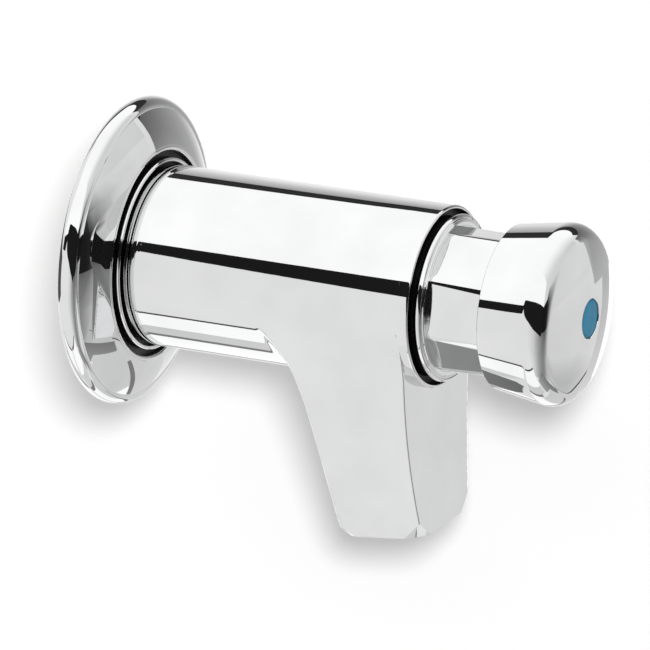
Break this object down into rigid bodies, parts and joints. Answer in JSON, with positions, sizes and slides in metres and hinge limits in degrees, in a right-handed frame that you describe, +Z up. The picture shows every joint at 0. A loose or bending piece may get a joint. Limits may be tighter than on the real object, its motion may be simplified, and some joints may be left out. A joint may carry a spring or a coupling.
{
  "type": "push timed tap",
  "caption": "Wall-mounted push timed tap: chromed barrel with a cast downward spout, round wall flange, and a sprung mushroom push button with a blue indicator.",
  "frame": {"origin": "On the wall plane, on the axis of the inlet thread and barrel.", "axes": "+Z up; the wall is the plane y = 0 and the tap stands out along -Y; +Y points into the wall along the inlet tail; +X is to the right seen from the front."},
  "size_m": [0.07, 0.1247, 0.0907],
  "materials": {
    "chrome": "polished chrome plate",
    "brass": "turned brass",
    "steel": "bright stainless steel",
    "rubber": "black rubber",
    "fibre": "red fibre washer",
    "white_plastic": "natural acetal",
    "black_plastic": "black acetal",
    "blue_plastic": "glossy blue plastic"
  },
  "bodies": {
    "tap": {"wall_flange": "chrome", "flange_gasket": "rubber", "centring_ring": "chrome", "inlet_nipple": "brass", "inlet_washer": "fibre", "inlet_filter": "steel", "valve_body": "chrome", "valve_seat": "brass", "cartridge_barrel": "white_plastic", "barrel_o_rings": "rubber", "gland_bush": "brass", "stem_o_ring": "rubber", "stem_wiper": "rubber", "guide_sleeve": "chrome", "retaining_collar": "chrome", "return_spring": "steel", "aerator_housing": "chrome", "aerator_insert": "white_plastic", "flow_regulator": "black_plastic", "aerator_seal": "rubber"},
    "plunger": {"stem": "steel", "valve_disc": "rubber", "disc_holder": "brass", "disc_nut": "brass", "piston": "black_plastic", "piston_lip_seal": "rubber", "piston_clip": "steel", "push_button": "chrome", "button_insert": "white_plastic", "button_screw": "steel", "indicator_cap": "blue_plastic"}
  },
  "joints": [
    {"name": "button_push", "type": "slide", "parent": "tap", "child": "plunger", "axis": [0, 1, 0], "range_m": [0, 0.009], "stiffness_N_per_m": 900, "springref_m": -0.014, "deforming": ["return_spring"]}
  ]
}
